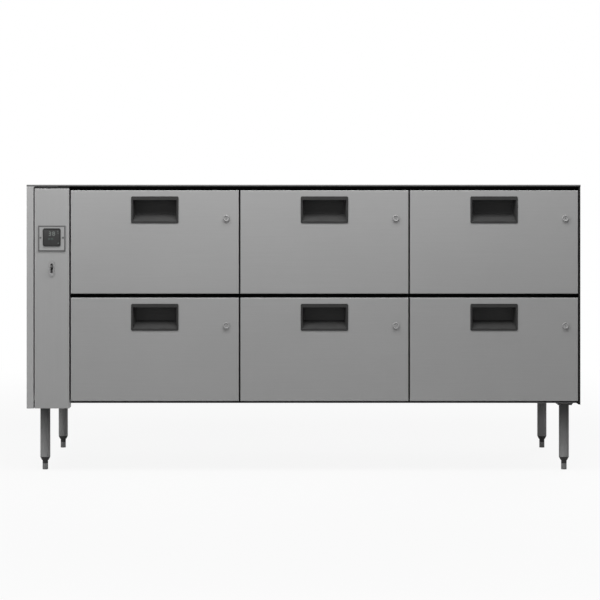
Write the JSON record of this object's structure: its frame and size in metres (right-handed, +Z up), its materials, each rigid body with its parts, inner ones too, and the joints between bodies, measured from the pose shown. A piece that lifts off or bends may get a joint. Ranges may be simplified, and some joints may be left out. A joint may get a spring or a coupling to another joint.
{
  "type": "drawer refrigerator",
  "caption": "Counter refrigerator with two rows of pull-out insulated drawers, recessed grips, cam locks, a control column and tall levelling legs.",
  "frame": {"origin": "floor level under the middle of the whole piece", "axes": "+X to the user's right along the drawers, -Y towards the user, +Z up"},
  "size_m": [1.754, 0.7, 0.914],
  "materials": {
    "steel": "brushed",
    "frame_black": "satin",
    "liner": "matte",
    "seal": "matte",
    "cup": "satin",
    "lock": "polished",
    "slide": "zinc plated",
    "bin": "satin",
    "thermostat": "gloss",
    "switch": "polished",
    "lever": "satin",
    "leg": "polished",
    "foot": "polished",
    "evaporator": "mill",
    "fan": "matte",
    "lines": "satin"
  },
  "bodies": {
    "cabinet": {"leg_tubes": "leg", "base_sheet": "steel", "back_sheet": "steel", "side_sheet": "steel", "insulated_body": "liner", "face_frame": "frame_black", "top_panel": "steel", "slide_rails": "slide", "end_panel": "steel", "control_fascia": "steel", "display_plate": "steel", "controller": "thermostat", "power_switch": "switch", "evaporator_casing": "evaporator", "evaporator_coil": "evaporator", "fan_motor": "fan", "refrigerant_lines": "lines"},
    "drawer_1": {"drawer_front_1": "steel", "gasket_1": "seal", "handle_cup_1": "cup", "drawer_bin_1": "bin"},
    "slide_1": {"slide_mid_1": "slide"},
    "lock_1": {"lock_plug_1": "lock"},
    "drawer_2": {"drawer_front_2": "steel", "gasket_2": "seal", "handle_cup_2": "cup", "drawer_bin_2": "bin"},
    "slide_2": {"slide_mid_2": "slide"},
    "lock_2": {"lock_plug_2": "lock"},
    "drawer_3": {"drawer_front_3": "steel", "gasket_3": "seal", "handle_cup_3": "cup", "drawer_bin_3": "bin"},
    "slide_3": {"slide_mid_3": "slide"},
    "lock_3": {"lock_plug_3": "lock"},
    "drawer_4": {"drawer_front_4": "steel", "gasket_4": "seal", "handle_cup_4": "cup", "drawer_bin_4": "bin"},
    "slide_4": {"slide_mid_4": "slide"},
    "lock_4": {"lock_plug_4": "lock"},
    "drawer_5": {"drawer_front_5": "steel", "gasket_5": "seal", "handle_cup_5": "cup", "drawer_bin_5": "bin"},
    "slide_5": {"slide_mid_5": "slide"},
    "lock_5": {"lock_plug_5": "lock"},
    "drawer_6": {"drawer_front_6": "steel", "gasket_6": "seal", "handle_cup_6": "cup", "drawer_bin_6": "bin"},
    "slide_6": {"slide_mid_6": "slide"},
    "lock_6": {"lock_plug_6": "lock"},
    "switch": {"switch_lever": "lever"},
    "fan": {"fan_rotor": "fan"},
    "foot_1": {"foot_1": "foot"},
    "foot_2": {"foot_2": "foot"},
    "foot_3": {"foot_3": "foot"},
    "foot_4": {"foot_4": "foot"}
  },
  "joints": [
    {"name": "drawer_1_slide", "type": "slide", "parent": "cabinet", "child": "drawer_1", "axis": [0, -1, 0], "range_m": [0, 0.43]},
    {"name": "slide_1_travel", "type": "slide", "parent": "cabinet", "child": "slide_1", "axis": [0, -1, 0], "range_m": [0, 0.215]},
    {"name": "lock_1_turn", "type": "hinge", "parent": "drawer_1", "child": "lock_1", "pos_m": [-0.245, -0.334, 0.808], "axis": [0, -1, 0], "range_deg": [0, 90]},
    {"name": "drawer_2_slide", "type": "slide", "parent": "cabinet", "child": "drawer_2", "axis": [0, -1, 0], "range_m": [0, 0.43]},
    {"name": "slide_2_travel", "type": "slide", "parent": "cabinet", "child": "slide_2", "axis": [0, -1, 0], "range_m": [0, 0.215]},
    {"name": "lock_2_turn", "type": "hinge", "parent": "drawer_2", "child": "lock_2", "pos_m": [0.292, -0.334, 0.808], "axis": [0, -1, 0], "range_deg": [0, 90]},
    {"name": "drawer_3_slide", "type": "slide", "parent": "cabinet", "child": "drawer_3", "axis": [0, -1, 0], "range_m": [0, 0.43]},
    {"name": "slide_3_travel", "type": "slide", "parent": "cabinet", "child": "slide_3", "axis": [0, -1, 0], "range_m": [0, 0.215]},
    {"name": "lock_3_turn", "type": "hinge", "parent": "drawer_3", "child": "lock_3", "pos_m": [0.829, -0.334, 0.808], "axis": [0, -1, 0], "range_deg": [0, 90]},
    {"name": "drawer_4_slide", "type": "slide", "parent": "cabinet", "child": "drawer_4", "axis": [0, -1, 0], "range_m": [0, 0.43]},
    {"name": "slide_4_travel", "type": "slide", "parent": "cabinet", "child": "slide_4", "axis": [0, -1, 0], "range_m": [0, 0.215]},
    {"name": "lock_4_turn", "type": "hinge", "parent": "drawer_4", "child": "lock_4", "pos_m": [-0.245, -0.334, 0.468], "axis": [0, -1, 0], "range_deg": [0, 90]},
    {"name": "drawer_5_slide", "type": "slide", "parent": "cabinet", "child": "drawer_5", "axis": [0, -1, 0], "range_m": [0, 0.43]},
    {"name": "slide_5_travel", "type": "slide", "parent": "cabinet", "child": "slide_5", "axis": [0, -1, 0], "range_m": [0, 0.215]},
    {"name": "lock_5_turn", "type": "hinge", "parent": "drawer_5", "child": "lock_5", "pos_m": [0.292, -0.334, 0.468], "axis": [0, -1, 0], "range_deg": [0, 90]},
    {"name": "drawer_6_slide", "type": "slide", "parent": "cabinet", "child": "drawer_6", "axis": [0, -1, 0], "range_m": [0, 0.43]},
    {"name": "slide_6_travel", "type": "slide", "parent": "cabinet", "child": "slide_6", "axis": [0, -1, 0], "range_m": [0, 0.215]},
    {"name": "lock_6_turn", "type": "hinge", "parent": "drawer_6", "child": "lock_6", "pos_m": [0.829, -0.334, 0.468], "axis": [0, -1, 0], "range_deg": [0, 90]},
    {"name": "switch_tip", "type": "hinge", "parent": "cabinet", "child": "switch", "pos_m": [-0.797, -0.32235, 0.649], "axis": [1, 0, 0], "range_deg": [0, 28]},
    {"name": "fan_spin", "type": "hinge", "parent": "cabinet", "child": "fan", "pos_m": [0.066, 0.2075, 0.639], "axis": [0, 1, 0], "continuous": true},
    {"name": "foot_1_turn", "type": "hinge", "parent": "cabinet", "child": "foot_1", "pos_m": [-0.829, -0.24, 0.03], "axis": [0, 0, 1], "continuous": true},
    {"name": "foot_2_turn", "type": "hinge", "parent": "cabinet", "child": "foot_2", "pos_m": [0.838, -0.24, 0.03], "axis": [0, 0, 1], "continuous": true},
    {"name": "foot_3_turn", "type": "hinge", "parent": "cabinet", "child": "foot_3", "pos_m": [-0.829, 0.27, 0.03], "axis": [0, 0, 1], "continuous": true},
    {"name": "foot_4_turn", "type": "hinge", "parent": "cabinet", "child": "foot_4", "pos_m": [0.838, 0.27, 0.03], "axis": [0, 0, 1], "continuous": true}
  ],
  "couplings": [
    {"joint": "slide_1_travel", "follows": "drawer_1_slide", "ratio": 0.5},
    {"joint": "slide_2_travel", "follows": "drawer_2_slide", "ratio": 0.5},
    {"joint": "slide_3_travel", "follows": "drawer_3_slide", "ratio": 0.5},
    {"joint": "slide_4_travel", "follows": "drawer_4_slide", "ratio": 0.5},
    {"joint": "slide_5_travel", "follows": "drawer_5_slide", "ratio": 0.5},
    {"joint": "slide_6_travel", "follows": "drawer_6_slide", "ratio": 0.5}
  ]
}
